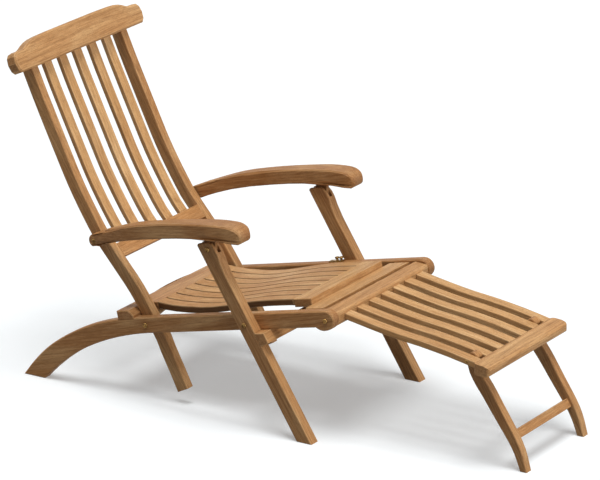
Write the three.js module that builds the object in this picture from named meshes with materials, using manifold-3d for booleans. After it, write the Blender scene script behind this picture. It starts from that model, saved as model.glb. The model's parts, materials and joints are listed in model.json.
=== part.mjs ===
// A folding steamer deck chair in teak: two side rails that sweep down into rear legs, a reclining
// slatted back, two front legs that carry the arms, and a footrest that stands on legs of its own.
// Lengths are millimetres. +X points to the foot end, +Y to the sitter's left, +Z up.
// Outlines are drawn from the side in x and z, with x = 0 at the tip of the rear feet and z = 0
// on the floor, and are then given their thickness along y.

import * as THREE from 'three';
import { mergeVertices } from 'three/addons/utils/BufferGeometryUtils.js';
import Module from 'manifold-3d';

const wasm = await Module();
wasm.setup();

// Clearances and fasteners
const seatGap = 0.3;
const slideGap = 0.5;
const overrun = 5;
const weldDistance = 0.001;
const boltRadius = 4;
const boltHeadRadius = 7.5;
const boltHeadHeight = 3.5;
const boltCover = 5;
const roundSides = 16;

// Steps along arcs and curves
const arcSteps = 8;
const outlineSteps = 12;
const longOutlineSteps = 24;
const legSteps = 18;
const stileSteps = 32;
const backSlatSteps = 16;
const arcLengthSteps = 400;
const halvings = 40;

// Frame: the side rails, seen from the side
const backPivotReach = 415;
const backPivotHeight = 222.5;
const railSlope = THREE.MathUtils.degToRad(12.6);
const railWidth = 45;
const railThickness = 30;
const railInner = 234.5;
const railRound = 3;
const legPivotAlong = 353.5;
const noseLobeRadius = 28;
const rearFootReach = 37;
const rearFootWidth = 55;
const rearLegSwell = 6;

// Rear cross rail, lapped over the side rails, which the back leans on
const crossRear = 89;
const crossFront = 5;
const crossTop = 44;
const crossDepth = 26;
const crossEndDrop = 15;
const crossRound = 2;
const leanGap = 0.5;

// Seat
const seatHalfWidth = 183;
const seatSlatCount = 8;
const seatSlatGap = 5;
const seatSlatDepth = 19;
const seatLength = 442;
const nosePast = 150;
const seatRise = 92;
const seatBoardWidth = 58;
const seatBoardDepth = 24;
const frameBoardWidth = 58;
const frameBoardDrop = 17;
const frameBoardEndGap = 16;
const boardRound = 2;

// Tenons of the slats and rails
const tenonLength = 12;
const tenonDepth = 6;
const tenonShoulder = 4;

// Back
const stileThickness = 28.5;
const stileDepth = 36.5;
const stileFront = 15.5;
const stileInset = 5;
const stileRound = 2;
const backRun = 403;
const backRise = 657;
const tailRun = 100;
const tailDrop = 180.5;
const backSlatCount = 5;
const backSlatWidth = 34;
const backSlatPitch = 71.5;
const backSlatDepth = 14;
const backSlatRecess = 8.5;
const backSlatRound = 1.5;
const lowerRailUp = 154.4;
const lowerRailHeight = 41.5;
const lowerRailDepth = 22;
const crestHalfWidth = 306;
const crestHeight = 80;
const crestEarHeight = 58;
const crestThickness = 36;
const crestForward = 15;
const crestRound = 5;

// Front legs and their stretcher
const legThickness = 35;
const legWidth = 40;
const legRound = 2;
const legLean = THREE.MathUtils.degToRad(122.4);
const legTopAlong = 252;
const armPivotAlong = 226;
const armPivotForward = 5.5;
const forkWidth = 13;
const forkFloor = 20;
const stretcherDrop = 72;
const stretcherProud = 27;
const stretcherHousing = 4;

// Arms
const armPivotReach = 246;
const armPivotHeight = 435;
const armLength = 515;
const armRise = 139;
const armRearRadius = 19;
const armRearStart = THREE.MathUtils.degToRad(-112);
const armRearEnd = THREE.MathUtils.degToRad(-235);
const armRearWidth = 25;
const armFrontWidth = 67;
const armHandProud = 20;
const armRound = 4;
const tongueThickness = 12;
const tongueRadius = 18;
const tongueHousing = 9;
const notchRun = 6.5;

// Footrest
const noseRadius = 28;
const noseReach = 24;
const noseRise = 18.5;
const noseEndGap = 1;
const noseSlatDrop = 9.5;
const footSlatCount = 7;
const footSlatPitch = 62;
const footSlatWidth = 33.5;
const footSlatDepth = 17.5;
const footSlatLength = 402;
const footSlatFall = 60;
const footSlatRound = 1.5;
const endRailDepth = 50;
const endRailHeight = 32;
const endRailHalfWidth = 213;
const endRailCorner = 12;
const footPivotSetback = 26;
const footPinRadius = 3;
const footPinHeadRadius = 5;
const footPinHeadHeight = 1.5;
const footLegTopRadius = 15;
const footLegRun = 158;
const footLegSoleWidth = 19;
const footStretcherShare = 0.71;
const footStretcherHeight = 25;
const footStretcherThickness = 18;
const footStretcherFrontShare = 0.35;

// Catch on the left side rail
const catchLength = 46;
const catchWidth = 16;
const catchThickness = 4;
const catchSetback = 66;
const catchKnobRadius = 6.5;
const catchKnobHeight = 11;

const teak = { color: 0xb0804c, roughness: 0.62, metalness: 0 };
const paleTeak = { color: 0xc49763, roughness: 0.6, metalness: 0 };
const brass = { color: 0xa9824a, roughness: 0.35, metalness: 1 };

const chair = new THREE.Group();

function addPiece(name, geometry, look) {
  const mesh = new THREE.Mesh(geometry, new THREE.MeshStandardMaterial(look));
  mesh.name = name;
  chair.add(mesh);
}

// Points in the side view

const point = (x, z) => new THREE.Vector2(x, z);

// A frame of its own in the side view: places are given along an angle and up, square to it.
function sideFrame(origin, angle) {
  const along = point(Math.cos(angle), Math.sin(angle));
  const up = point(-Math.sin(angle), Math.cos(angle));
  const place = (a, u) => origin.clone().addScaledVector(along, a).addScaledVector(up, u);
  place.angle = angle;
  place.alongOf = (p) => p.clone().sub(origin).dot(along);
  place.upOf = (p) => p.clone().sub(origin).dot(up);
  return place;
}

function arcPoints(centre, radius, from, to, steps) {
  return Array.from({ length: steps + 1 }, (_, i) => {
    const angle = from + ((to - from) * i) / steps;
    return point(centre.x + radius * Math.cos(angle), centre.y + radius * Math.sin(angle));
  });
}

const splineThrough = (points, steps) => new THREE.SplineCurve(points).getPoints(steps);

const rectangle = (at, from, low, to, high) => [at(from, low), at(to, low), at(to, high), at(from, high)];

// The value at a share of the way, between hand-chosen stops.
function between(stops, share) {
  const k = Math.max(1, stops.findIndex(([stop]) => share <= stop));
  const [start, low] = stops[k - 1];
  const [end, high] = stops[k];
  return low + ((high - low) * THREE.MathUtils.clamp(share - start, 0, end - start)) / (end - start);
}

// The two edges of a band along a curve. Left and right are distances from the curve, as functions
// of the share of its length.
function bandEdges(curve, steps, left, right, from = 0, to = 1) {
  const edges = { left: [], right: [] };
  for (let i = 0; i <= steps; i += 1) {
    const share = from + ((to - from) * i) / steps;
    const middle = curve.getPointAt(share);
    const heading = curve.getTangentAt(share);
    const normal = point(-heading.y, heading.x);
    edges.left.push(middle.clone().addScaledVector(normal, left(share)));
    edges.right.push(middle.clone().addScaledVector(normal, -right(share)));
  }
  return edges;
}

// The part of an outline that stands above the floor.
function standOnFloor(outline) {
  const kept = [];
  outline.forEach((here, i) => {
    const next = outline[(i + 1) % outline.length];
    if (here.y >= 0) kept.push(here);
    if (here.y >= 0 !== next.y >= 0) kept.push(here.clone().lerp(next, here.y / (here.y - next.y)));
  });
  return kept;
}

// Where the line through a and b meets the line through c and d.
function meet(a, b, c, d) {
  const first = b.clone().sub(a);
  const second = d.clone().sub(c);
  const share = c.clone().sub(a).cross(second) / first.cross(second);
  return a.clone().addScaledVector(first, share);
}

// Solids

// A flat outline made into a board of a given thickness, with its edges chamfered by round.
function slab(outline, thickness, round) {
  const turned = THREE.ShapeUtils.isClockWise(outline) ? outline.slice().reverse() : outline;
  const geometry = new THREE.ExtrudeGeometry(new THREE.Shape(turned), {
    depth: thickness - 2 * round,
    bevelEnabled: round > 0,
    bevelSize: round,
    bevelThickness: round,
    bevelOffset: -round,
    bevelSegments: 1,
  });
  return geometry.translate(0, 0, round);
}

// A board with a side-view outline, from one y to another.
const board = (outline, from, to, round = 0) => (
  slab(outline, to - from, round).rotateX(Math.PI / 2).translate(0, to, 0)
);

// The two sides of the chair, and a range of y on one of them.
const sides = [['right', -1], ['left', 1]];
const onSide = (side, from, to) => (side < 0 ? [-to, -from] : [from, to]);

const sideBoard = (outline, side, from, to, round = 0) => board(outline, ...onSide(side, from, to), round);

function lathe(profile, centre, side = 1) {
  const geometry = new THREE.LatheGeometry(profile, roundSides);
  if (side < 0) geometry.rotateX(Math.PI);
  return geometry.translate(centre.x, 0, centre.y);
}

function hole(centre, radius, side, from, to) {
  const wide = radius + seatGap;
  return lathe([point(0, from), point(wide, from), point(wide, to), point(0, to)], centre, side);
}

function toManifold(geometry) {
  const bare = geometry.clone();
  bare.deleteAttribute('normal');
  bare.deleteAttribute('uv');
  const merged = mergeVertices(bare, weldDistance);
  return new wasm.Manifold(new wasm.Mesh({
    numProp: 3,
    vertProperties: new Float32Array(merged.attributes.position.array),
    triVerts: new Uint32Array(merged.index.array),
  }));
}

function toGeometry(solid) {
  const mesh = solid.getMesh();
  const geometry = new THREE.BufferGeometry();
  geometry.setAttribute('position', new THREE.BufferAttribute(mesh.vertProperties, 3));
  geometry.setIndex(new THREE.BufferAttribute(mesh.triVerts, 1));
  return geometry;
}

// A base solid with others joined to it, others cut from it, and one that it is kept within.
function shaped(base, { joins = [], cuts = [], within = null }) {
  let solid = toManifold(base);
  if (within) solid = solid.intersect(toManifold(within));
  for (const join of joins) solid = solid.add(toManifold(join));
  for (const cut of cuts) solid = solid.subtract(toManifold(cut));
  return toGeometry(solid);
}

// A tenon past the end of a slat or rail. The mortise that takes it is the same with a gap.
function tenon(end, angle, depth, y, width, gap = 0) {
  const at = sideFrame(end, angle);
  const outline = rectangle(at, -overrun, -depth / 2 - gap, tenonLength + gap, depth / 2 + gap);
  return board(outline, y - width / 2 - gap, y + width / 2 + gap);
}

// A bolt along y with a domed head on the outside and a covered tip inside.
function bolt(centre, side, face, tip, radius = boltRadius, head = boltHeadRadius, height = boltHeadHeight) {
  const under = face + seatGap;
  const domeShares = [[1, 0], [1, 0.4], [0.72, 0.85], [0, 1]];
  const dome = domeShares.map(([r, h]) => point(r * head, under + h * height));
  return lathe([point(0, tip), point(radius, tip), point(radius, under), ...dome], centre, side);
}

const spread = (count, pitch) => Array.from({ length: count }, (_, i) => (i - (count - 1) / 2) * pitch);

// Pivots and frames in the side view
const backPivot = point(backPivotReach, backPivotHeight);
const onRail = sideFrame(backPivot, railSlope);
const legPivot = onRail(legPivotAlong, 0);
const nosePivot = onRail(seatLength + nosePast, railWidth / 2 - noseLobeRadius);
const onLeg = sideFrame(legPivot, legLean);
const armPivot = onLeg(armPivotAlong, -armPivotForward);
const armRearPivot = point(armPivotReach, armPivotHeight);

// Places across the chair
const railOuter = railInner + railThickness;
const stileOuter = railInner - stileInset;
const stileInner = stileOuter - stileThickness;
const legInner = railOuter + slideGap;
const legOuter = legInner + legThickness;
const forkMiddle = (legInner + legOuter) / 2;

// The rear leg's middle line leaves the floor steeply and bends over into the rail.
const footHandleShares = [0.205, 0.51];
const railHandleShare = 0.395;
const rearLegCurve = new THREE.CubicBezierCurve(
  point(rearFootReach, 0),
  point(rearFootReach + backPivotReach * footHandleShares[0], backPivotHeight * footHandleShares[1]),
  onRail(-backPivotReach * railHandleShare, 0),
  backPivot,
);

// The stile's middle line, from its tail below the seat up to the crest rail.
const tailShares = [[1, 1], [0.77, 0.745], [0.48, 0.44], [0.24, 0.165]];
const backShares = [[0, 0], [0.139, 0.123], [0.25, 0.203], [0.378, 0.293], [0.456, 0.353],
  [0.618, 0.515], [0.766, 0.695], [0.911, 0.88], [1, 1]];
const stileCurve = new THREE.SplineCurve([
  ...tailShares.map(([x, z]) => backPivot.clone().add(point(x * tailRun, -z * tailDrop))),
  ...backShares.map(([x, z]) => backPivot.clone().add(point(-x * backRun, z * backRise))),
]);
stileCurve.arcLengthDivisions = arcLengthSteps;
const stileRear = stileDepth - stileFront;
const stileEdges = bandEdges(stileCurve, stileSteps, () => stileRear, () => stileFront);

// The share of the stile's length at a height above the floor.
function stileShareAt(height) {
  let low = 0;
  let high = 1;
  for (let i = 0; i < halvings; i += 1) {
    const middle = (low + high) / 2;
    if (stileCurve.getPointAt(middle).y < height) low = middle;
    else high = middle;
  }
  return low;
}

// How far along the rail the stile's rear edge stands, at a height square to the rail.
function stileRearAlong(up) {
  const stops = stileEdges.left.map((p) => [onRail.upOf(p), onRail.alongOf(p)]);
  return between(stops, up);
}

// Frame

function railOutline() {
  const swellShares = [[0, 0], [0.22, 1], [0.6, 0.75], [1, 0]];
  const half = (share) => (
    THREE.MathUtils.lerp(rearFootWidth, railWidth, share) + rearLegSwell * between(swellShares, share)
  ) / 2;
  const leg = bandEdges(rearLegCurve, legSteps, half, half);
  const below = rearLegCurve.getTangentAt(0).multiplyScalar(-rearFootWidth);
  leg.left.unshift(leg.left[0].clone().add(below));
  leg.right.unshift(leg.right[0].clone().add(below));
  const lobe = sideFrame(nosePivot, railSlope);
  const lobeShares = [[0, 1], [0.5, 0.87], [0.88, 0.48], [1, 0], [0.86, -0.46], [0.48, -0.82],
    [0, -0.96], [-0.5, -0.98], [-0.95, -0.83]];
  const lobePoints = lobeShares.map(([a, u]) => lobe(a * noseLobeRadius, u * noseLobeRadius));
  const neckShare = -1.25;
  lobePoints.push(lobe(neckShare * noseLobeRadius, noseLobeRadius - railWidth));
  const end = splineThrough(lobePoints, longOutlineSteps);
  return standOnFloor([...leg.left, ...end, ...leg.right.reverse()]);
}

const crossLow = crossTop - crossDepth;
const seatRear = onRail(-crossFront, crossTop);

// The ends of the cross rail lie on the side rails and stop where the stiles lean on them.
function crossEndOutline(gap) {
  const lean = stileRearAlong(crossTop - crossEndDrop) - leanGap;
  return [
    onRail(-crossRear - gap, crossLow - gap),
    onRail(lean + gap, crossLow - gap),
    onRail(lean + gap, crossTop - crossEndDrop),
    onRail(lean - crossEndDrop, crossTop + gap),
    onRail(-crossRear - gap, crossTop + gap),
  ];
}

function buildSideRails() {
  const outline = railOutline();
  const lap = crossEndOutline(seatGap);
  const through = [railInner - overrun, railOuter + overrun];
  for (const [hand, side] of sides) {
    const cuts = [
      sideBoard(lap, side, ...through),
      hole(backPivot, boltRadius, side, ...through),
      hole(nosePivot, boltRadius, side, ...through),
      hole(legPivot, boltRadius, side, railInner + boltCover - seatGap, railOuter + overrun),
      frameBoardTenon(side, seatGap),
    ];
    const rail = sideBoard(outline, side, railInner, railOuter, railRound);
    addPiece(`side_rail_${hand}`, shaped(rail, { cuts }), teak);
  }
}

function buildCrossRail() {
  const middle = rectangle(onRail, -crossRear, crossLow, -crossFront, crossTop);
  const cuts = seatSlatMiddles.map((y) => seatTenon(seatRear, Math.PI + railSlope, y, seatGap));
  const ends = board(crossEndOutline(0), -railOuter, railOuter, crossRound);
  const joins = [board(middle, -seatHalfWidth, seatHalfWidth, crossRound)];
  addPiece('rear_cross_rail', shaped(ends, { joins, cuts }), teak);
}

// Seat

const seatSlatWidth = (2 * seatHalfWidth - (seatSlatCount - 1) * seatSlatGap) / seatSlatCount;
const seatSlatMiddles = spread(seatSlatCount, seatSlatWidth + seatSlatGap);
const seatFront = seatRear.clone().add(point(seatLength, seatRise));
const onSeatFront = sideFrame(seatFront, railSlope);
const frameBoardStart = seatBoardWidth + seatGap;
const frameBoardEnd = frameBoardStart + frameBoardWidth;
const frameBoardLow = -frameBoardDrop - seatBoardDepth;
const frameBoardReach = railInner - frameBoardEndGap;

function seatTenon(end, angle, y, gap) {
  const down = sideFrame(end, railSlope)(0, -seatSlatDepth / 2);
  return tenon(down, angle, tenonDepth, y, seatSlatWidth - 2 * tenonShoulder, gap);
}

function buildSeatSlats() {
  const seatShares = [[0.095, 0], [0.23, 0.06], [0.37, 0.17], [0.51, 0.36], [0.69, 0.64],
    [0.82, 0.81], [0.95, 0.95]];
  const atRear = sideFrame(seatRear, railSlope);
  const run = seatShares.map(([x, z]) => seatRear.clone().add(point(x * seatLength, z * seatRise)));
  const top = splineThrough([atRear(seatGap, 0), ...run, onSeatFront(-seatGap, 0)], outlineSteps);
  const under = top.map((p) => p.clone().add(point(0, -seatSlatDepth)));
  under[0] = atRear(seatGap, -seatSlatDepth);
  under[under.length - 1] = onSeatFront(-seatGap, -seatSlatDepth);
  const outline = [...top, ...under.reverse()];
  seatSlatMiddles.forEach((y, i) => {
    const slat = board(outline, y - seatSlatWidth / 2, y + seatSlatWidth / 2, boardRound);
    const joins = [
      seatTenon(seatRear, Math.PI + railSlope, y, 0),
      seatTenon(seatFront, railSlope, y, 0),
    ];
    addPiece(`seat_slat_${i + 1}`, shaped(slat, { joins }), paleTeak);
  });
}

function frameBoardTenon(side, gap) {
  const inset = tenonShoulder - gap;
  const outline = rectangle(
    onSeatFront,
    frameBoardStart + inset,
    frameBoardLow + inset,
    frameBoardEnd - inset,
    -frameBoardDrop - inset,
  );
  return sideBoard(outline, side, frameBoardReach - overrun, railInner + tenonLength + gap);
}

function buildSeatBoards() {
  const seatBoard = rectangle(onSeatFront, 0, -seatBoardDepth, seatBoardWidth, 0);
  const cuts = seatSlatMiddles.map((y) => seatTenon(seatFront, railSlope, y, seatGap));
  const rail = board(seatBoard, -seatHalfWidth, seatHalfWidth, boardRound);
  addPiece('seat_front_rail', shaped(rail, { cuts }), paleTeak);
  const frameBoard = rectangle(
    onSeatFront,
    frameBoardStart,
    frameBoardLow,
    frameBoardEnd,
    -frameBoardDrop,
  );
  const joins = sides.map(([, side]) => frameBoardTenon(side, 0));
  const lowBoard = board(frameBoard, -frameBoardReach, frameBoardReach, boardRound);
  addPiece('frame_front_rail', shaped(lowBoard, { joins }), paleTeak);
}

// Back

const backTop = stileCurve.getPointAt(1);
const topHeading = stileCurve.getTangentAt(1);
const onCrest = sideFrame(backTop, Math.atan2(topHeading.y, topHeading.x));
const crestRear = crestThickness / 2 - crestForward;
const lowerRailShare = stileShareAt(backPivotHeight + lowerRailUp);
const lowerHeading = stileCurve.getTangentAt(lowerRailShare);
const onLowerRail = sideFrame(
  stileCurve.getPointAt(lowerRailShare),
  Math.atan2(lowerHeading.y, lowerHeading.x),
);

// The tenon on top of a stile, in the middle of the depth that stile and crest rail share.
function stileTenon(side, gap) {
  const y = side * (stileInner + stileThickness / 2);
  const at = onCrest(0, (crestRear - stileFront) / 2);
  const depth = crestRear + stileFront - 2 * tenonShoulder;
  return tenon(at, onCrest.angle, depth, y, stileThickness / 2, gap);
}

function lowerRailTenon(side, gap) {
  const inset = tenonShoulder - gap;
  const front = inset - stileFront;
  const rear = lowerRailDepth - stileFront - inset;
  const outline = rectangle(onLowerRail, inset, front, lowerRailHeight - inset, rear);
  return sideBoard(outline, side, stileInner - overrun, stileInner + tenonLength + gap);
}

function buildStiles() {
  const rear = [...stileEdges.left.slice(0, -1), onCrest(-seatGap, stileRear)];
  const front = [...stileEdges.right.slice(0, -1), onCrest(-seatGap, -stileFront)];
  const outline = [...rear, ...front.reverse()];
  for (const [hand, side] of sides) {
    const reach = [stileInner + boltCover - seatGap, stileOuter + overrun];
    const cuts = [
      hole(backPivot, boltRadius, side, ...reach),
      hole(armRearPivot, boltRadius, side, ...reach),
      lowerRailTenon(side, seatGap),
    ];
    const stile = sideBoard(outline, side, stileInner, stileOuter, stileRound);
    addPiece(`back_stile_${hand}`, shaped(stile, { joins: [stileTenon(side, 0)], cuts }), teak);
  }
}

const backSlatMiddles = spread(backSlatCount, backSlatPitch);
const backSlatFront = stileFront - backSlatRecess;
const backSlatRear = backSlatDepth - backSlatFront;

// The tenon of a back slat, in the middle of the depth that the slat and the crest rail share.
const backSlatUp = (Math.min(backSlatRear, crestRear) - backSlatFront) / 2;

function backSlatTenon(at, along, angle, y, gap) {
  const width = backSlatWidth - 2 * tenonShoulder;
  return tenon(at(along, backSlatUp), angle, tenonDepth, y, width, gap);
}

const crestSlatTenon = (y, gap) => backSlatTenon(onCrest, 0, onCrest.angle, y, gap);
const lowerSlatTenon = (y, gap) => (
  backSlatTenon(onLowerRail, lowerRailHeight, onLowerRail.angle + Math.PI, y, gap)
);

function buildBackSlats() {
  const from = stileShareAt(onLowerRail(lowerRailHeight, 0).y);
  const edges = bandEdges(stileCurve, backSlatSteps, () => backSlatRear, () => backSlatFront, from, 1);
  edges.left[0] = onLowerRail(lowerRailHeight + seatGap, backSlatRear);
  edges.right[0] = onLowerRail(lowerRailHeight + seatGap, -backSlatFront);
  edges.left[backSlatSteps] = onCrest(-seatGap, backSlatRear);
  edges.right[backSlatSteps] = onCrest(-seatGap, -backSlatFront);
  const outline = [...edges.left, ...edges.right.reverse()];
  backSlatMiddles.forEach((y, i) => {
    const slat = board(outline, y - backSlatWidth / 2, y + backSlatWidth / 2, backSlatRound);
    const joins = [crestSlatTenon(y, 0), lowerSlatTenon(y, 0)];
    addPiece(`back_slat_${i + 1}`, shaped(slat, { joins }), paleTeak);
  });
}

function buildLowerRail() {
  const front = -stileFront;
  const outline = rectangle(onLowerRail, 0, front, lowerRailHeight, front + lowerRailDepth);
  const reach = stileInner - seatGap;
  const joins = sides.map(([, side]) => lowerRailTenon(side, 0));
  const cuts = backSlatMiddles.map((y) => lowerSlatTenon(y, seatGap));
  addPiece('lower_back_rail', shaped(board(outline, -reach, reach, boardRound), { joins, cuts }), teak);
}

// The crest rail is drawn from the front: half its outline, from the bottom edge round the ear
// to the middle, and the same again on the other side.
function crestOutline() {
  const ear = crestEarHeight;
  const earShares = [[0.955, 0], [0.985, 0.15], [1, 0.5], [0.985, 0.83], [0.955, 0.97], [0.9, 1.01],
    [0.84, 1]];
  const earPoints = earShares.map(([y, h]) => point(y * crestHalfWidth, h * ear));
  const riseShares = [[0.8, 0.14], [0.755, 0.42], [0.7, 0.68], [0.63, 0.86], [0.54, 0.94], [0.36, 0.98],
    [0.12, 1]];
  const risePoints = riseShares.map(([y, h]) => point(y * crestHalfWidth, ear + h * (crestHeight - ear)));
  const half = [...earPoints, ...risePoints];
  const mirror = half.map((p) => point(-p.x, p.y)).reverse();
  return [...half, ...mirror];
}

function buildCrest() {
  const front = onCrest(0, -crestThickness / 2 - crestForward);
  const up = onCrest(1, 0).sub(onCrest(0, 0));
  const ahead = onCrest(0, -1).sub(onCrest(0, 0));
  const turn = new THREE.Matrix4().makeBasis(
    new THREE.Vector3(0, 1, 0),
    new THREE.Vector3(up.x, 0, up.y),
    new THREE.Vector3(ahead.x, 0, ahead.y),
  );
  const crest = slab(crestOutline(), crestThickness, crestRound).translate(0, 0, -crestThickness);
  crest.applyMatrix4(turn).translate(front.x, 0, front.y);
  const cuts = [
    ...sides.map(([, side]) => stileTenon(side, seatGap)),
    ...backSlatMiddles.map((y) => crestSlatTenon(y, seatGap)),
  ];
  addPiece('crest_rail', shaped(crest, { cuts }), teak);
}

// Front legs

const legFront = legWidth / 2;
const stretcherTop = -railWidth / 2 - seatGap;

// The stretcher's top lies along the underside of the side rails, which stops the legs there.
function stretcherOutline(gap) {
  const rear = -legFront + stretcherHousing + gap;
  const front = -legFront - stretcherProud;
  const railEnd = [onRail(0, stretcherTop + gap), onRail(legPivotAlong, stretcherTop + gap)];
  const low = -stretcherDrop - gap;
  return [
    meet(onLeg(0, rear), onLeg(low, rear), ...railEnd),
    onLeg(low, rear),
    onLeg(low, front),
    meet(onLeg(0, front), onLeg(low, front), ...railEnd),
  ];
}

function legOutline() {
  const soleAlong = -legPivot.y / Math.sin(legLean) - legWidth;
  const topShares = [[0.55, 0.5], [0.7, 0.57], [0.8, 0.68], [0.87, 0.68], [0.93, 0.57], [0.965, 0.36],
    [1, -0.4], [0.985, -0.5]];
  const top = topShares.map(([a, f]) => onLeg(a * legTopAlong, -f * legWidth));
  return standOnFloor([onLeg(soleAlong, legFront), onLeg(soleAlong, -legFront), ...top]);
}

function buildFrontLegs() {
  const outline = legOutline();
  const fork = rectangle(onLeg, armPivotAlong - forkFloor, -legWidth, legTopAlong + overrun, legWidth);
  for (const [hand, side] of sides) {
    const through = [legInner - overrun, legOuter + overrun];
    const cuts = [
      sideBoard(fork, side, forkMiddle - forkWidth / 2, forkMiddle + forkWidth / 2),
      hole(legPivot, boltRadius, side, ...through),
      hole(armPivot, boltRadius, side, legInner + boltCover - seatGap, legOuter + overrun),
      board(stretcherOutline(seatGap), -legOuter - overrun, legOuter + overrun),
    ];
    const leg = sideBoard(outline, side, legInner, legOuter, legRound);
    addPiece(`front_leg_${hand}`, shaped(leg, { cuts }), teak);
  }
  addPiece('front_leg_stretcher', board(stretcherOutline(0), -legOuter, legOuter, legRound), teak);
}

// Arms

// Outline points of the arm, as shares of its length and rise from the rear pivot.
const armTopShares = [[0.072, 0.273], [0.206, 0.468], [0.32, 0.608], [0.495, 0.766], [0.668, 0.892],
  [0.794, 0.97], [0.878, 0.998], [0.926, 1], [0.958, 0.975], [0.983, 0.92], [0.997, 0.84], [0.998, 0.75],
  [0.98, 0.68]];
const armUnderShares = [[0.934, 0.672], [0.868, 0.672], [0.796, 0.643], [0.668, 0.592], [0.493, 0.46],
  [0.274, 0.262], [0.13, 0.075], [0.049, -0.065]];
const armPoint = ([x, z]) => armRearPivot.clone().add(point(x * armLength, z * armRise));

function armOutline() {
  const rear = arcPoints(armRearPivot, armRearRadius, armRearStart, armRearEnd, arcSteps);
  const top = splineThrough(armTopShares.map(armPoint), longOutlineSteps);
  const under = splineThrough(armUnderShares.map(armPoint), outlineSteps);
  return [...top, ...under, ...rear];
}

// The plan of the arm: narrow beside the stile, broad where the hand rests, rounded at the tip.
function armPlan(x) {
  const share = Math.min((x - armPivotReach) / armLength, 1);
  const innerShares = [[0, 0], [0.13, 0.02], [0.25, 0.4], [0.37, 0.85], [0.5, 1], [1, 1]];
  const outerShares = [[0.04, 0], [0.075, 0.08], [0.13, 0.27], [0.21, 0.5], [0.32, 0.63], [0.5, 0.76],
    [0.67, 0.9], [0.8, 0.99], [0.88, 1], [0.95, 0.99], [0.985, 0.93], [1, 0.84]];
  const tipShares = [[0.93, 0], [0.975, 0.05], [1, 0.18]];
  const handOuter = legOuter + armHandProud;
  const handInner = handOuter - armFrontWidth;
  const rearInner = railInner;
  const tip = between(tipShares, share) * armFrontWidth;
  const inner = rearInner + (handInner - rearInner) * between(innerShares, share) + tip;
  const rearOuter = rearInner + armRearWidth;
  const outer = rearOuter + (handOuter - rearOuter) * between(outerShares, share);
  return { inner, outer };
}

function tongueOutline() {
  const top = armUnderAt(armPivot.x) + tongueHousing;
  const arc = arcPoints(armPivot, tongueRadius, Math.PI, 2 * Math.PI, arcSteps);
  return [point(armPivot.x - tongueRadius, top), ...arc, point(armPivot.x + tongueRadius, top)];
}

// The height of the arm's underside at a place along it.
function armUnderAt(x) {
  const stops = armUnderShares.map(armPoint).map((p) => [p.x, p.y]).reverse();
  return between(stops, x);
}

function buildArm(hand, side) {
  const slabWide = board(armOutline(), -armFrontWidth / 2, armFrontWidth / 2, armRound);
  const places = slabWide.attributes.position;
  for (let i = 0; i < places.count; i += 1) {
    const { inner, outer } = armPlan(places.getX(i));
    const share = places.getY(i) / armFrontWidth + 0.5;
    places.setY(i, side * (inner + (outer - inner) * (side < 0 ? 1 - share : share)));
  }
  const aside = (p) => Math.sign(p.x - armPivot.x) * seatGap;
  const socket = tongueOutline().map((p) => point(p.x + aside(p), p.y + seatGap));
  const half = tongueThickness / 2 + seatGap;
  const face = armPlan(armPivotReach).outer;
  const cuts = [
    hole(armRearPivot, boltRadius, side, stileOuter - overrun, face + overrun),
    hole(armRearPivot, boltHeadRadius, side, face, face + overrun),
    sideBoard(socket, side, forkMiddle - half, forkMiddle + half),
  ];
  addPiece(`arm_${hand}`, shaped(slabWide, { cuts }), teak);
}

// The tongue hangs from the arm into the fork of the leg. Its notch is open below, so that it
// lifts off the bolt as the chair folds.
function buildTongue(hand, side) {
  const at = sideFrame(armPivot, 0);
  const wide = boltRadius + seatGap;
  const notch = rectangle(at, -wide, -tongueRadius - overrun, wide + notchRun, wide);
  const half = tongueThickness / 2;
  const cuts = [sideBoard(notch, side, forkMiddle - half - overrun, forkMiddle + half + overrun)];
  const tongue = sideBoard(tongueOutline(), side, forkMiddle - half, forkMiddle + half);
  addPiece(`arm_tongue_${hand}`, shaped(tongue, { cuts }), teak);
}

// Footrest

const noseFront = noseReach - seatGap;
const noseBoltTip = railInner - noseEndGap - railThickness;
const footStart = nosePivot.clone().add(point(noseReach, noseRise - noseSlatDrop));
const footEnd = footStart.clone().add(point(footSlatLength, -footSlatFall));
const footSlatMiddles = spread(footSlatCount, footSlatPitch);
const footTopShares = [[0, 1], [0.09, 0.9], [0.24, 0.73], [0.42, 0.56], [0.575, 0.46], [0.8, 0.25], [1, 0]];
const footTop = footTopShares.map(([x, z]) => footEnd.clone().add(
  point((x - 1) * footSlatLength, z * footSlatFall),
));
const footTopCurve = splineThrough(footTop, outlineSteps);
const endSlatOuter = footSlatMiddles[footSlatCount - 1] + footSlatWidth / 2;

function footTopAt(x) {
  return between(footTopCurve.map((p) => [p.x, p.y]), x);
}

function footTenon(end, angle, y, gap) {
  const width = footSlatWidth - 2 * tenonShoulder;
  return tenon(end.clone().add(point(0, -footSlatDepth / 2)), angle, tenonDepth, y, width, gap);
}

const footPivotX = footEnd.x - footPivotSetback;
const footPivot = point(footPivotX, footTopAt(footPivotX) - footSlatDepth / 2);
const footLegOuter = footSlatMiddles[footSlatCount - 1] - footSlatWidth / 2 - slideGap;
const footLegInner = footSlatMiddles[footSlatCount - 2] + footSlatWidth / 2 + slideGap;

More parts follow.
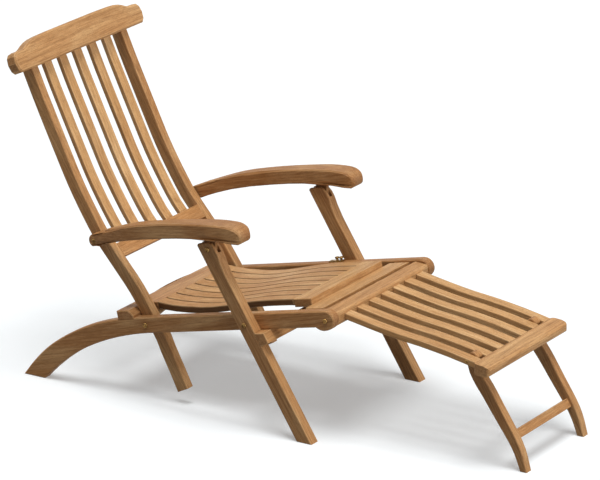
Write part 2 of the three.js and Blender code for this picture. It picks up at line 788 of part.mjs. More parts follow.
// The nose rail is flat in front, where the slats start, and rounded behind, where it turns.
function buildNose() {
  const frontShares = [[0.8, 1], [0.94, 0.85], [1, 0.6], [1, -0.68], [0.86, -0.92], [0.6, -1.12]];
  const rearShares = [[-0.5, -0.78], [-0.8, -0.55], [-0.95, -0.2], [-0.95, 0.2], [-0.83, 0.5], [-0.6, 0.74]];
  const at = sideFrame(nosePivot, 0);
  const outline = [
    ...frontShares.map(([a, u]) => at(a * noseFront, u * noseRise)),
    ...rearShares.map(([a, u]) => at(a * noseRadius, u * noseRadius)),
  ];
  const reach = railInner - noseEndGap;
  const holeFrom = noseBoltTip - seatGap;
  const cuts = [
    ...footSlatMiddles.map((y) => footTenon(footStart, Math.PI, y, seatGap)),
    ...sides.map(([, side]) => hole(nosePivot, boltRadius, side, holeFrom, railInner)),
  ];
  addPiece('footrest_nose_rail', shaped(board(outline, -reach, reach, boardRound), { cuts }), teak);
}

function buildFootSlats() {
  const top = footTopCurve.map((p) => p.clone());
  top[top.length - 1].x -= seatGap;
  const under = top.map((p) => p.clone().add(point(0, -footSlatDepth))).reverse();
  footSlatMiddles.forEach((y, i) => {
    const slat = board([...top, ...under], y - footSlatWidth / 2, y + footSlatWidth / 2, footSlatRound);
    const joins = [footTenon(footStart, Math.PI, y, 0), footTenon(footEnd, 0, y, 0)];
    const side = Math.sign(y);
    const outermost = i === 0 || i === footSlatCount - 1;
    const beside = i === 1 || i === footSlatCount - 2;
    const inside = footLegInner - slideGap - footSlatWidth + boltCover - seatGap;
    const edge = endSlatOuter + overrun;
    const cuts = outermost || beside ? [hole(footPivot, footPinRadius, side, inside, edge)] : [];
    addPiece(`footrest_slat_${i + 1}`, shaped(slat, { joins, cuts }), paleTeak);
  });
}

// The footrest leg's middle line, from its pivot down to the floor.
const footLegShares = [[0, 0], [-0.005, 0.08], [0.11, 0.197], [0.262, 0.307], [0.422, 0.435], [0.583, 0.562],
  [0.768, 0.708], [0.893, 0.833], [1, 1]];
const footLegCurve = new THREE.SplineCurve(footLegShares.map(([x, z]) => (
  footPivot.clone().add(point(x * footLegRun, -z * footPivot.y))
)));

function footLegOutline(grow) {
  const widthShares = [[0, 1], [0.12, 1.12], [0.25, 1.15], [0.4, 1.08], [0.55, 1], [0.7, 0.92], [0.85, 0.8]];
  const [lastShare, lastWidth] = widthShares[widthShares.length - 1];
  const taper = (share) => (share - lastShare) / (1 - lastShare);
  const half = (share) => (
    share > lastShare
      ? THREE.MathUtils.lerp(footLegTopRadius * lastWidth, footLegSoleWidth / 2, taper(share))
      : footLegTopRadius * between(widthShares, share)
  ) + grow;
  const edges = bandEdges(footLegCurve, legSteps, half, half);
  const heading = footLegCurve.getTangentAt(0);
  const start = Math.atan2(heading.y, heading.x) - Math.PI / 2;
  const cap = arcPoints(footPivot, footLegTopRadius + grow, start, start - Math.PI, arcSteps).slice(1, -1);
  const foot = footLegCurve.getTangentAt(1).multiplyScalar(footLegSoleWidth);
  edges.left.push(edges.left[edges.left.length - 1].clone().add(foot));
  edges.right.push(edges.right[edges.right.length - 1].clone().add(foot));
  return standOnFloor([...edges.left, ...edges.right.reverse(), ...cap]);
}

function buildEndRail() {
  const sectionShares = [[0, 0], [0.6, -0.07], [0.86, -0.2], [0.97, -0.36], [1, -0.52], [0.98, -0.82],
    [0.9, -0.97], [0.8, -1], [0.2, -1], [0, -0.85]];
  const at = sideFrame(footEnd, 0);
  const outline = sectionShares.map(([a, u]) => at(a * endRailDepth, u * endRailHeight));
  const rail = board(outline, -endRailHalfWidth, endRailHalfWidth);
  const plan = endRailPlan();
  const seats = sides.map(([, side]) => (
    sideBoard(footLegOutline(slideGap), side, footLegInner - slideGap, footLegOuter + slideGap)
  ));
  const cuts = [...footSlatMiddles.map((y) => footTenon(footEnd, 0, y, seatGap)), ...seats];
  addPiece('footrest_end_rail', shaped(rail, { within: plan, cuts }), teak);
}

// The end rail seen from above, with its corners rounded.
function endRailPlan() {
  const rear = footEnd.x;
  const front = rear + endRailDepth;
  const outline = [];
  for (const [x, y, start] of [[front, endRailHalfWidth, 0], [rear, endRailHalfWidth, 1],
    [rear, -endRailHalfWidth, 2], [front, -endRailHalfWidth, 3]]) {
    const inX = x === front ? -endRailCorner : endRailCorner;
    const inY = y > 0 ? -endRailCorner : endRailCorner;
    const from = (start * Math.PI) / 2;
    const corner = arcPoints(point(x + inX, y + inY), endRailCorner, from, from + Math.PI / 2, arcSteps);
    outline.push(...corner);
  }
  return slab(outline, footEnd.y + endRailHeight, 0);
}

function buildFootLegs() {
  for (const [hand, side] of sides) {
    const cuts = [
      hole(footPivot, footPinRadius, side, footLegInner - overrun, footLegOuter + overrun),
      footStretcherTenon(side, seatGap),
    ];
    const leg = sideBoard(footLegOutline(0), side, footLegInner, footLegOuter, stileRound);
    addPiece(`footrest_leg_${hand}`, shaped(leg, { cuts }), teak);
  }
  const reach = footLegInner - seatGap;
  const joins = sides.map(([, side]) => footStretcherTenon(side, 0));
  const outline = footStretcherSection(0);
  addPiece('footrest_leg_stretcher', shaped(board(outline, -reach, reach, boardRound), { joins }), teak);
}

const footStretcherPlace = footLegCurve.getPointAt(footStretcherShare);
const footStretcherHeading = footLegCurve.getTangentAt(footStretcherShare);
const onFootStretcher = sideFrame(
  footStretcherPlace,
  Math.atan2(footStretcherHeading.y, footStretcherHeading.x),
);

function footStretcherSection(inset) {
  const half = footStretcherHeight / 2 - inset;
  const front = footStretcherThickness * footStretcherFrontShare - inset;
  const rear = -footStretcherThickness * (1 - footStretcherFrontShare) + inset;
  return rectangle(onFootStretcher, -half, rear, half, front);
}

function footStretcherTenon(side, gap) {
  const section = footStretcherSection(tenonShoulder - gap);
  return sideBoard(section, side, footLegInner - overrun, footLegInner + tenonLength + gap);
}

// Fasteners

function buildBolts() {
  const armFace = armPlan(armPivotReach).outer;
  for (const [hand, side] of sides) {
    const innerTip = stileInner + boltCover;
    addPiece(`bolt_back_${hand}`, bolt(backPivot, side, railOuter, innerTip), brass);
    addPiece(`bolt_leg_${hand}`, bolt(legPivot, side, legOuter, railInner + boltCover), brass);
    addPiece(`bolt_arm_front_${hand}`, bolt(armPivot, side, legOuter, legInner + boltCover), brass);
    addPiece(`bolt_arm_rear_${hand}`, bolt(armRearPivot, side, armFace, innerTip), brass);
    addPiece(`bolt_nose_${hand}`, bolt(nosePivot, side, railOuter, noseBoltTip), brass);
    const pinTip = footLegInner - slideGap - footSlatWidth + boltCover;
    const pinSizes = [footPinRadius, footPinHeadRadius, footPinHeadHeight];
    const pin = bolt(footPivot, side, endSlatOuter, pinTip, ...pinSizes);
    addPiece(`bolt_footrest_leg_${hand}`, pin, brass);
  }
}

function buildCatch() {
  const top = railWidth / 2 + seatGap;
  const start = legPivotAlong - catchSetback;
  const middle = railInner + railThickness / 2;
  const outline = rectangle(onRail, start, top, start + catchLength, top + catchThickness);
  const plate = board(outline, middle - catchWidth / 2, middle + catchWidth / 2);
  const knobShares = [[0, -0.2], [0.6, -0.2], [0.5, 0.35], [0.85, 0.5], [1, 0.7], [0.8, 0.92], [0, 1]];
  const placeShares = [0.55, 0.85];
  const knobs = placeShares.map((share) => {
    const knob = new THREE.LatheGeometry(
      knobShares.map(([r, h]) => point(r * catchKnobRadius, h * catchKnobHeight)),
      roundSides,
    );
    const foot = onRail(start + share * catchLength, top + catchThickness);
    return knob.rotateX(Math.PI / 2).rotateY(-railSlope).translate(foot.x, middle, foot.y);
  });
  addPiece('rail_catch', shaped(plate, { joins: knobs }), brass);
}

buildSideRails();
buildCrossRail();
buildSeatSlats();
buildSeatBoards();
buildStiles();
buildBackSlats();
buildLowerRail();
buildCrest();
buildFrontLegs();
for (const [hand, side] of sides) {
  buildArm(hand, side);
  buildTongue(hand, side);
}
buildNose();
buildFootSlats();
buildEndRail();
buildFootLegs();
buildBolts();
buildCatch();

// The origin is on the floor, under the middle of the whole chair.
const extent = new THREE.Box3().setFromObject(chair);
const middle = extent.getCenter(new THREE.Vector3());
chair.position.set(-middle.x, -middle.y, -extent.min.z);

export default chair;
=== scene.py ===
import json
import math

import bmesh
import bpy
import numpy as np
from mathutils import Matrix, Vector


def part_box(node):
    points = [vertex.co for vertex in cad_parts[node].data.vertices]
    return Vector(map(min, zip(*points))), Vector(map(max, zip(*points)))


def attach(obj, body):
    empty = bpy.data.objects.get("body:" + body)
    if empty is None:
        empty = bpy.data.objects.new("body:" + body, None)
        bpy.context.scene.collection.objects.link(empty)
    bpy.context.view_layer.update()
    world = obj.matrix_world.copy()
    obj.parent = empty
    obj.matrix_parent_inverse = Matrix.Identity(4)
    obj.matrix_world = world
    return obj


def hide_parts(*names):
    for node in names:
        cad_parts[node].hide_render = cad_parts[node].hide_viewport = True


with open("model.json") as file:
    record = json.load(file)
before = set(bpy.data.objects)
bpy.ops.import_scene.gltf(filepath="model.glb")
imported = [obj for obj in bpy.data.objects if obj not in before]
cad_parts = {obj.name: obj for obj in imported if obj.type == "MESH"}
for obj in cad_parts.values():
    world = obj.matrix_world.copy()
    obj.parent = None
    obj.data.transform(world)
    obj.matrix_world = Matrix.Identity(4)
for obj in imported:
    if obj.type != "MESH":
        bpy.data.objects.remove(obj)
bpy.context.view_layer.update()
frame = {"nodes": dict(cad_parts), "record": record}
scene = bpy.context.scene
scene.view_settings.view_transform = "Standard"
bodyOf = {node: body for body, nodes in frame["record"]["behaviour"]["bodies"].items() for node in nodes}
slotOf = {part["node"]: part["material_slot"] for part in frame["record"]["subparts"]}
print("frame loaded:", len(frame["nodes"]), "nodes")


def addObject(name, data):
    made = bpy.data.objects.new(name, data)
    scene.collection.objects.link(made)
    return made


def pointingAlong(direction):
    # how a camera or a lamp is turned to look along a direction
    return Vector(direction).to_track_quat("-Z", "Y").to_euler()


# the camera stands where the photograph was taken from
cameraSettings = dict(
    place=(6.2147, -9.8697, 4.4309), target=(-0.0214, -0.0004, 0.4543), lens=271.3, reach=200)


def makeCamera(settings):
    data = bpy.data.cameras.new("camera")
    data.lens = settings["lens"]
    data.clip_end = settings["reach"]
    camera = addObject("camera", data)
    camera.location = settings["place"]
    camera.rotation_euler = pointingAlong(Vector(settings["target"]) - Vector(settings["place"]))
    scene.camera = camera


makeCamera(cameraSettings)
print("camera made")


class Wire:
    # wraps a socket of a node tree: + - and * on it add Math nodes, and node() adds any other node
    def __init__(self, tree, socket=None):
        self.tree = tree
        self.socket = socket

    def node(self, kind, settings, inputs, output=0):
        made = self.tree.nodes.new(kind)
        for name, value in settings.items():
            if name == "stops":
                stops = made.color_ramp.elements
                while len(stops) < len(value):
                    stops.new(0.5)
                for stop, (place, grey) in zip(stops, value):
                    stop.position = place
                    stop.color = (grey, grey, grey, 1)
            else:
                setattr(made, name, value)
        for name, value in inputs.items():
            if isinstance(value, Wire):
                self.tree.links.new(value.socket, made.inputs[name])
            else:
                made.inputs[name].default_value = value
        return Wire(self.tree, made.outputs[output])

    def maths(self, operation, *values):
        return self.node("ShaderNodeMath", {"operation": operation}, dict(enumerate(values)))

    def __add__(self, other):
        return self.maths("ADD", self, other)

    def __radd__(self, other):
        return self.maths("ADD", other, self)

    def __sub__(self, other):
        return self.maths("SUBTRACT", self, other)

    def __rsub__(self, other):
        return self.maths("SUBTRACT", other, self)

    def __mul__(self, other):
        return self.maths("MULTIPLY", self, other)

    def __rmul__(self, other):
        return self.maths("MULTIPLY", other, self)

    def attribute(self, name, output="Fac"):
        return self.node("ShaderNodeAttribute", {"attribute_name": name}, {}, output)

    def clamp(self):
        return self.node("ShaderNodeClamp", {}, {"Value": self})

    def ramp(self, stops):
        # each stop is a value and the grey that it becomes
        return self.node("ShaderNodeValToRGB", {"stops": stops}, {"Fac": self})

    def blend(self, first, second):
        # two colours mixed by this value: inputs 6 and 7 of a Mix node are its colours, output 2 their mix
        return self.node("ShaderNodeMix", {"data_type": "RGBA"}, {0: self, 6: first, 7: second}, 2)

    def noise(self, fineness, detail=3.0, roughness=0.5):
        # a noise round 0.5, with its own fineness along each of the wire's three axes
        scaled = self.node("ShaderNodeVectorMath", {"operation": "MULTIPLY"}, {0: self, 1: fineness})
        values = {"Vector": scaled, "Scale": 1.0, "Detail": detail, "Roughness": roughness}
        return self.node("ShaderNodeTexNoise", {}, values)

    def bump(self, distance, strength):
        return self.node("ShaderNodeBump", {}, {"Height": self, "Distance": distance, "Strength": strength})


def newMaterial(name):
    material = bpy.data.materials.new(name)
    material.use_nodes = True
    tree = material.node_tree
    shader = next(n for n in tree.nodes if n.type == "BSDF_PRINCIPLED")
    return material, Wire(tree), shader


def feed(wire, shader, name):
    wire.tree.links.new(wire.socket, shader.inputs[name])


def shade(red, green, blue):
    # a colour written as it shows on a screen, turned into the numbers that nodes take
    return tuple(c / 12.92 if c <= 0.04045 else ((c + 0.055) / 1.055) ** 2.4
                 for c in (red / 255, green / 255, blue / 255)) + (1.0,)


# oiled teak: growth rings round each board's own pith, lengthwise streaks, flecks, fibres and pores, with
# painted shade on faces that look aside and paler eased edges that are part wear, part painted highlight;
# a depth says how much of its colour a layer lays over what is under it
teakSettings = dict(
    golden=shade(209, 159, 105), ruddy=shade(186, 132, 80), streak=shade(122, 80, 42),
    pale=shade(228, 187, 134), endGrain=shade(120, 76, 44), paintedShadeColour=shade(74, 46, 24),
    goldenStart=0.25, goldenByTone=0.5, goldenByCloud=1.5, ringsPerMetre=230, ringBend=0.028,
    dullDepth=0.4, cloudDepth=0.5, streakDepth=0.42, ringDepth=0.25, fleckDepth=0.6, lightFleckDepth=0.3,
    fibreDepth=0.16, poreDepth=0.5, endDepth=0.36, paintedShadeDepth=0.8, wearAndHighlightDepth=0.45,
    roughness=0.52, streakRoughness=0.25, poreRoughness=0.12, wearPolish=0.08, specular=0.22,
    bump=0.00035, bumpStrength=0.7, fibreHeight=0.5, poreHeight=0.8, ringHeight=0.35)
slatSettings = dict(
    teakSettings, golden=shade(220, 173, 117), ruddy=shade(198, 148, 94), streak=shade(140, 96, 54),
    pale=shade(234, 197, 146), ringDepth=0.18, streakDepth=0.36)


def teakFinish(name, settings):
    material, wires, shader = newMaterial(name)
    grain = wires.attribute("grain", "Vector")
    fields = ("tone", "endGrain", "edgeWear", "gapSide")
    tone, ends, wearAndHighlightEdges, paintedShade = (wires.attribute(field) for field in fields)

    # rings are circles round the pith, bent a little along the board
    wander = grain.noise((1.3, 9.0, 9.0), detail=2.0)
    across = grain.node("ShaderNodeVectorMath", {"operation": "MULTIPLY"}, {0: grain, 1: (0.0, 1.0, 1.0)})
    radius = across.node("ShaderNodeVectorMath", {"operation": "LENGTH"}, {0: across}, "Value")
    phase = (radius + (wander - 0.5) * settings["ringBend"]) * settings["ringsPerMetre"]
    rings = phase.maths("PINGPONG", phase, 1.0)
    lateWood = rings.ramp([(0.0, 0.0), (0.62, 0.15), (0.9, 1.0), (1.0, 0.85)])

    streaks = grain.noise((2.6, 85.0, 85.0), detail=5.0, roughness=0.65)
    clouds = grain.noise((5.0, 20.0, 20.0))
    flecks = grain.noise((16.0, 270.0, 270.0), detail=4.0, roughness=0.75)
    fibres = grain.noise((38.0, 1100.0, 1100.0), detail=2.0, roughness=0.7)
    pores = grain.noise((95.0, 1500.0, 1500.0), detail=1.0).ramp([(0.60, 0.0), (0.70, 1.0)])
    # eased edges turn paler in patches: partly wear, partly a painted highlight along the edge
    wearAndHighlight = wearAndHighlightEdges * grain.noise((14.0, 60.0, 60.0)).ramp([(0.35, 0.15), (0.65, 1.0)])

    # a board's tone goes from 0, ruddy, to 1, golden, and one below 0 is duller as well
    golden = tone * settings["goldenByTone"] + settings["goldenStart"]
    golden = (golden + (clouds - 0.5) * settings["goldenByCloud"]).clamp()
    colour = golden.blend(settings["ruddy"], settings["golden"])
    layers = [((0.0 - tone).clamp(), "dullDepth", "streak"),
              (clouds.ramp([(0.5, 0.0), (0.72, 1.0)]), "cloudDepth", "pale"),
              (streaks.ramp([(0.40, 0.0), (0.53, 0.35), (0.70, 1.0)]), "streakDepth", "streak"),
              (lateWood, "ringDepth", "streak"),
              (flecks.ramp([(0.30, 1.0), (0.52, 0.0)]), "fleckDepth", "streak"),
              (flecks.ramp([(0.50, 0.0), (0.72, 1.0)]), "lightFleckDepth", "pale"),
              (fibres.ramp([(0.35, 1.0), (0.6, 0.0)]), "fibreDepth", "streak"),
              (pores, "poreDepth", "endGrain"),
              (ends, "endDepth", "endGrain"),
              # painted shade: faces that look aside are darkened towards a dark brown
              (paintedShade, "paintedShadeDepth", "paintedShadeColour"),
              (wearAndHighlight, "wearAndHighlightDepth", "pale")]
    for mask, depth, tint in layers:
        colour = (mask * settings[depth]).blend(colour, settings[tint])
    feed(colour, shader, "Base Color")

    rough = settings["roughness"] + (streaks - 0.5) * settings["streakRoughness"]
    feed(rough + pores * settings["poreRoughness"] - wearAndHighlight * settings["wearPolish"], shader, "Roughness")
    height = fibres * settings["fibreHeight"] - pores * settings["poreHeight"]
    height = height - lateWood * settings["ringHeight"]
    feed(height.bump(settings["bump"], settings["bumpStrength"]), shader, "Normal")
    shader.inputs["Specular IOR Level"].default_value = settings["specular"]
    return material


# aged brass: a warm metal that has browned in patches and is finely scratched
brassSettings = dict(bright=shade(170, 134, 80), brown=shade(82, 57, 34), brownDepth=0.85, roughness=0.36,
                     brownRoughness=0.22, scratchRoughness=0.2, bump=0.0002, bumpStrength=0.4)


def brassFinish(name, settings):
    material, wires, shader = newMaterial(name)
    place = wires.node("ShaderNodeTexCoord", {}, {}, "Object")
    patches = place.noise((150.0, 150.0, 150.0), detail=4.0).ramp([(0.42, 0.0), (0.62, 1.0)])
    scratches = place.noise((900.0, 300.0, 900.0), detail=2.0)
    colour = (patches * settings["brownDepth"]).blend(settings["bright"], settings["brown"])
    feed(colour, shader, "Base Color")
    rough = settings["roughness"] + patches * settings["brownRoughness"]
    feed(rough + (scratches - 0.5) * settings["scratchRoughness"], shader, "Roughness")
    feed(scratches.bump(settings["bump"], settings["bumpStrength"]), shader, "Normal")
    shader.inputs["Metallic"].default_value = 1.0
    return material


finishes = {
    "teak": teakFinish("oiled_teak", teakSettings),
    "teak_slat": teakFinish("sanded_teak", slatSettings),
    "brass": brassFinish("aged_brass", brassSettings)}
print("finishes made")


def addPiece(mesh, node):
    # the new piece takes the CAD node's place, body and material slot
    piece = addObject(node + "_dressed", mesh)
    mesh.materials.clear()
    mesh.materials.append(finishes[slotOf[node]])
    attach(piece, bodyOf[node])
    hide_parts(node)
    return piece


def meshValues(mesh, kind, name, width):
    values = np.zeros(len(getattr(mesh, kind)) * width, np.float32)
    getattr(mesh, kind).foreach_get(name, values)
    return values.reshape(-1, width)


def setAttribute(mesh, name, kind, domain, values):
    attribute = mesh.attributes.new(name, kind, domain)
    field = "vector" if kind == "FLOAT_VECTOR" else "value"
    attribute.data.foreach_set(field, np.asarray(values, np.float32).ravel())


def smoothFaces(mesh, sharpAngle):
    mesh.polygons.foreach_set("use_smooth", np.ones(len(mesh.polygons), bool))
    mesh.set_sharp_from_angle(angle=math.radians(sharpAngle))


# what all the boards share, in metres and degrees: points of the solid closer than merge become one,
# and so do faces within flat of each other, and edges that turn by more than turn are eased
boardSettings = dict(
    merge=2e-5, flat=0.6, turn=24, steps=2, sharpAngle=38, normalWeight=60,
    logLength=40, pithAside=0.03, pithAway=(0.015, 0.11), tones=(0.0, 1.0),
    endFrom=0.8, endOver=0.15, paintedShadeFrom=0.3, paintedShadeOver=0.35, paintedShadeStrength=0.0)


def planSides(work, pitch):
    # how far out the solid reaches on each hand at places along the chair, where its edges cross them
    ends = np.array([[v.co[:2] for v in edge.verts] for edge in work.edges])
    start, run = ends[:, 0], ends[:, 1] - ends[:, 0]
    rear, front = ends[:, :, 0].min(1), ends[:, :, 0].max(1)
    sides = {-1: [], 1: []}
    for x in np.arange(rear.min() + pitch / 4, front.max(), pitch / 2):
        crossing = (rear < x) & (x < front)
        reach = start[crossing, 1] + run[crossing, 1] * (x - start[crossing, 0]) / run[crossing, 0]
        sides[-1].append((x, reach.min()))
        sides[1].append((x, reach.max()))
    return {hand: np.array(places).T for hand, places in sides.items()}


def ruleBroadSides(work, settings):
    # the broad sides of an arm bend along the chair only, so they are cut square to it into narrow
    # strips, and each point inside them takes the place across that the solid's plan has there
    width = settings["stripWidth"]
    sides = planSides(work, width)
    rear, front = sides[1][0].min(), sides[1][0].max()
    for x in np.arange(rear + width, front, width):
        whole = work.verts[:] + work.edges[:] + work.faces[:]
        bmesh.ops.bisect_plane(work, geom=whole, dist=settings["snap"], plane_co=(x, 0, 0),
                               plane_no=(1, 0, 0))
    pivotX, pivotZ = settings["pivot"]
    for hand, (along, across) in sides.items():
        broad = set()
        for face in work.faces:
            middle = face.calc_center_median()
            inside = (np.interp(middle.x, along, across) - middle.y) * hand
            if inside < settings["sideDepth"] and face.normal.y * hand > settings["sideFacing"]:
                broad.add(face)
        for vert in {v for f in broad for v in f.verts}:
            clear = math.hypot(vert.co.x - pivotX, vert.co.z - pivotZ) > settings["pivotRadius"]
            if clear and all(f in broad for f in vert.link_faces):
                vert.co.y = np.interp(vert.co.x, along, across)
    work.normal_update()


def easedMesh(node, settings):
    # a copy of the node's own solid, merged, with its edges eased and the eased faces marked for wear and a
    # painted highlight
    mesh = frame["nodes"][node].data.copy()
    mesh.name = node + "_dressed"
    work = bmesh.new()
    work.from_mesh(mesh)
    bmesh.ops.remove_doubles(work, verts=work.verts, dist=settings["merge"])
    flat = math.radians(settings["flat"])
    bmesh.ops.dissolve_limit(work, angle_limit=flat, verts=work.verts, edges=work.edges)
    bmesh.ops.recalc_face_normals(work, faces=work.faces)
    work.normal_update()
    wearAndHighlight = work.faces.layers.float.new("edgeWear")
    if "stripWidth" in settings:
        ruleBroadSides(work, settings)
    turn = math.radians(settings["turn"])
    edges = [e for e in work.edges if len(e.link_faces) == 2 and e.calc_face_angle(0) > turn]
    made = bmesh.ops.bevel(work, geom=edges, offset=settings["round"], offset_type="OFFSET",
                           segments=settings["steps"], profile=0.5, affect="EDGES", clamp_overlap=True)
    for face in made["faces"]:
        face[wearAndHighlight] = 1.0
    bmesh.ops.triangulate(work, faces=[f for f in work.faces if len(f.verts) > 4])
    work.to_mesh(mesh)
    work.free()
    return mesh


def fade(values, start, width):
    # 0 up to start, and from there in a straight line to 1
    return np.clip((values - start) / width, 0, 1)


def markGrain(mesh, settings, random):
    # a point's grain is its place along, across and through the board, counted from the pith of a log
    # that the board is cut from: the board's axes are the main directions in which its points spread
    points = meshValues(mesh, "vertices", "co", 3)
    middle = (points.min(0) + points.max(0)) / 2
    axes = np.linalg.svd(points - points.mean(0), full_matrices=False)[2]
    aside = settings["pithAside"]
    pith = (random.uniform(0, settings["logLength"]), random.uniform(-aside, aside),
            random.uniform(*settings["pithAway"]) * random.choice((-1, 1)))
    setAttribute(mesh, "grain", "FLOAT_VECTOR", "POINT", (points - middle) @ axes.T + pith)
    tone = random.uniform(*settings["tones"])
    setAttribute(mesh, "tone", "FLOAT", "POINT", np.full(len(points), tone))

    # faces that look along the board show end grain, and those that look aside get painted shade, as the
    # lamps light them less and the gaps beside them are dark
    normals = meshValues(mesh, "polygons", "normal", 3)
    ends = fade(np.abs(normals @ axes[0]), settings["endFrom"], settings["endOver"])
    setAttribute(mesh, "endGrain", "FLOAT", "FACE", ends)
    paintedShade = fade(np.abs(normals[:, 1]), settings["paintedShadeFrom"], settings["paintedShadeOver"])
    setAttribute(mesh, "gapSide", "FLOAT", "FACE", paintedShade * settings["paintedShadeStrength"])


def dressBoard(node, settings, random):
    mesh = easedMesh(node, settings)
    markGrain(mesh, settings, random)
    smoothFaces(mesh, settings["sharpAngle"])
    flatter = addPiece(mesh, node).modifiers.new("even_faces", "WEIGHTED_NORMAL")
    flatter.keep_sharp = True
    flatter.weight = settings["normalWeight"]


# each kind of board: how far its edges are eased, in metres and steps, the range of its tones, and how
# strong the painted shade on its sides is; an arm also has the strips that its broad sides are cut into,
# what counts as such a side, and the rear pivot, round which nothing is moved
crestPiece = dict(boardSettings, nodes=["crest_rail"], round=0.0032, steps=3, tones=(0.9, 1.2))
armPiece = dict(boardSettings, nodes=["arm_right", "arm_left"], round=0.0024, steps=3, tones=(-0.6, -0.35),
                stripWidth=0.0125, snap=1e-5, sideDepth=0.012, sideFacing=0.81, pivot=(-0.5241, 0.435),
                pivotRadius=0.0095)
# painted shade: the tongues sit in the shadow under the arms, so their tones are the darkest and their
# sides are shaded too
tonguePiece = dict(boardSettings, nodes=["arm_tongue_right", "arm_tongue_left"], round=0.0008,
                   tones=(-1.0, -0.8), paintedShadeStrength=0.5)
nosePiece = dict(boardSettings, nodes=["footrest_nose_rail", "footrest_end_rail"], round=0.0012,
                 tones=(0.9, 1.2))
railPiece = dict(boardSettings, nodes=["side_rail_right", "side_rail_left"], round=0.0014,
                 tones=(-0.5, -0.3))
stilePiece = dict(boardSettings, nodes=["back_stile_right", "back_stile_left"], round=0.0012)
# the legs' sides get painted shade, and their tones are high so that the lit fronts stay pale
legPiece = dict(
    boardSettings, nodes=["front_leg_right", "front_leg_left", "footrest_leg_right", "footrest_leg_left"],
    round=0.0012, tones=(0.2, 0.6), paintedShadeStrength=0.25)
crossPiece = dict(
    boardSettings, round=0.0012,
    nodes=["rear_cross_rail", "lower_back_rail", "front_leg_stretcher", "footrest_leg_stretcher"])
# the seat slats' sides get full painted shade, for the dark gaps between them
seatPiece = dict(boardSettings, nodes=[f"seat_slat_{i}" for i in range(1, 9)], round=0.0011,
                 tones=(-0.65, -0.15), paintedShadeStrength=1.0)
seatBoardPiece = dict(boardSettings, nodes=["seat_front_rail", "frame_front_rail"], round=0.0011)
slatPiece = dict(
    boardSettings, round=0.0009,
    nodes=[f"back_slat_{i}" for i in range(1, 6)] + [f"footrest_slat_{i}" for i in range(1, 8)])

random = np.random.default_rng(41)
for settings in (crestPiece, armPiece, tonguePiece, railPiece, stilePiece, legPiece, crossPiece, nosePiece,
                 seatPiece, seatBoardPiece, slatPiece):
    for node in settings["nodes"]:
        dressBoard(node, settings, random)
    print("boards dressed:", ", ".join(settings["nodes"]))


# bolts: a domed brass head with a round hollow in its middle, on a plain shank; shank and rise are
# shares of the head's radius, and headShares go from the hollow's middle out to the rim, each a share
# of the radius and one of the rise; a head with a radius below pinBelow is a pin's, with its own shares
boltPiece = dict(
    sides=32, shank=4 / 7.5, rise=3.5 / 7.5, pinBelow=0.006, pinShank=0.6, pinRise=0.3, merge=1e-6,
    sharpAngle=40, headShares=[(0.0, 0.42), (0.40, 0.40), (0.46, 0.62), (0.52, 0.98), (0.62, 1.0),
                               (0.80, 0.88), (0.93, 0.62), (1.0, 0.30), (1.0, 0.0)])


def turned(profile, sides):
    # each (radius, place) of the profile is carried once round the y axis, as whole rings of points
    radii, places = np.array(profile, float).T
    angles = np.linspace(0, 2 * math.pi, sides, endpoint=False)
    points = np.stack([np.outer(radii, np.cos(angles)), np.repeat(places[:, None], sides, 1),
                       np.outer(radii, np.sin(angles))], -1).reshape(-1, 3)
    rows = np.arange(len(radii) - 1)[:, None] * sides
    here = np.arange(sides)
    after = (here + 1) % sides
    faces = np.stack([rows + here, rows + after, rows + sides + after, rows + sides + here], -1)
    return points, faces.reshape(-1, 4)


def dressBolt(node, settings):
    # the head and the shank fill the node's box from its outer end to its inner one
    low, high = (np.array(corner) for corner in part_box(node))
    outward = -1 if (low + high)[1] < 0 else 1
    head = (high[0] - low[0]) / 2
    pin = head < settings["pinBelow"]
    shank = head * settings["pinShank" if pin else "shank"]
    rise = head * settings["pinRise" if pin else "rise"]
    face, tip = (high[1], low[1]) if outward > 0 else (low[1], high[1])
    under = face - outward * rise
    profile = [(r * head, under + outward * h * rise) for r, h in settings["headShares"]]
    profile += [(shank, under), (shank, tip), (0.0, tip)]
    points, faces = turned(profile, settings["sides"])
    points += np.array([(low[0] + high[0]) / 2, 0, (low[2] + high[2]) / 2])
    mesh = bpy.data.meshes.new(node + "_dressed")
    mesh.from_pydata(points.tolist(), [], faces.tolist())
    work = bmesh.new()
    work.from_mesh(mesh)
    bmesh.ops.remove_doubles(work, verts=work.verts, dist=settings["merge"])
    bmesh.ops.recalc_face_normals(work, faces=work.faces)
    work.to_mesh(mesh)
    work.free()
    smoothFaces(mesh, settings["sharpAngle"])
    addPiece(mesh, node)


for node in sorted(frame["nodes"]):
    if node.startswith("bolt_"):
        dressBolt(node, boltPiece)
# the catch's solid has the right shape, so it only gets its finish
frame["nodes"]["rail_catch"].data.materials.clear()
frame["nodes"]["rail_catch"].data.materials.append(finishes["brass"])
print("bolts dressed")


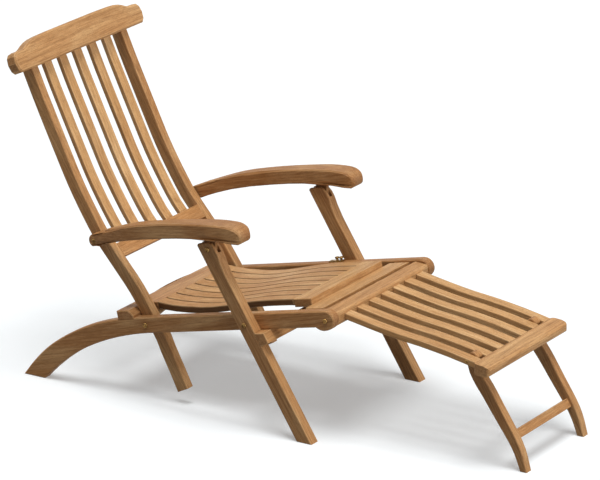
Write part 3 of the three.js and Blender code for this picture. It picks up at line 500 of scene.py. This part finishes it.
# a pale floor that reads as white and keeps the soft shadow, under even studio light
studio = dict(
    floorSize=40.0, seen=(0.70, 0.73, 0.745, 1), bounced=(0.25, 0.26, 0.27, 1), floorRoughness=0.9,
    mottle=3.0, seenStart=0.98, seenByMottle=0.04, lift=0.29, sky=0.22,
    lamps=[dict(name="overhead", towards=(-0.06, 0.12, -1.0), strength=2.5, angle=31),
           dict(name="footSide", towards=(-0.98, -0.04, -0.13), strength=1.8, angle=35)])


def seenOrMirrored(wires):
    # 1 for what the camera sees straight or in a gloss, and 0 for what only sends light on
    seen = wires.node("ShaderNodeLightPath", {}, {}, "Is Camera Ray")
    glossy = wires.node("ShaderNodeLightPath", {}, {}, "Is Glossy Ray")
    return seen.maths("MAXIMUM", seen, glossy)


def makeStudio(settings):
    half = settings["floorSize"] / 2
    corners = [(-half, -half, 0), (half, -half, 0), (half, half, 0), (-half, half, 0)]
    mesh = bpy.data.meshes.new("floor")
    mesh.from_pydata(corners, [], [(0, 1, 2, 3)])
    floor = addObject("floor", mesh)
    material, wires, shader = newMaterial("pale_floor")
    place = wires.node("ShaderNodeTexCoord", {}, {}, "Object")
    mottle = place.noise((settings["mottle"],) * 3)
    seen = wires.node("ShaderNodeLightPath", {}, {}, "Is Camera Ray")
    seenShare = seen * (settings["seenStart"] + mottle * settings["seenByMottle"])
    feed(seenShare.blend(settings["bounced"], settings["seen"]), shader, "Base Color")
    feed(seenOrMirrored(wires).blend((0, 0, 0, 1), (1, 1, 1, 1)), shader, "Emission Color")
    shader.inputs["Emission Strength"].default_value = settings["lift"]
    shader.inputs["Roughness"].default_value = settings["floorRoughness"]
    shader.inputs["Specular IOR Level"].default_value = 0.0
    mesh.materials.append(material)

    world = bpy.data.worlds.new("studio")
    scene.world = world
    world.use_nodes = True
    background = next(n for n in world.node_tree.nodes if n.type == "BACKGROUND")
    strength = seenOrMirrored(Wire(world.node_tree)) * (1 - settings["sky"]) + settings["sky"]
    feed(strength, background, "Strength")
    background.inputs["Color"].default_value = (1, 1, 1, 1)

    for lamp in settings["lamps"]:
        data = bpy.data.lights.new(lamp["name"], "SUN")
        data.energy = lamp["strength"]
        data.angle = math.radians(lamp["angle"])
        addObject(lamp["name"], data).rotation_euler = pointingAlong(lamp["towards"])


makeStudio(studio)
print("studio made")
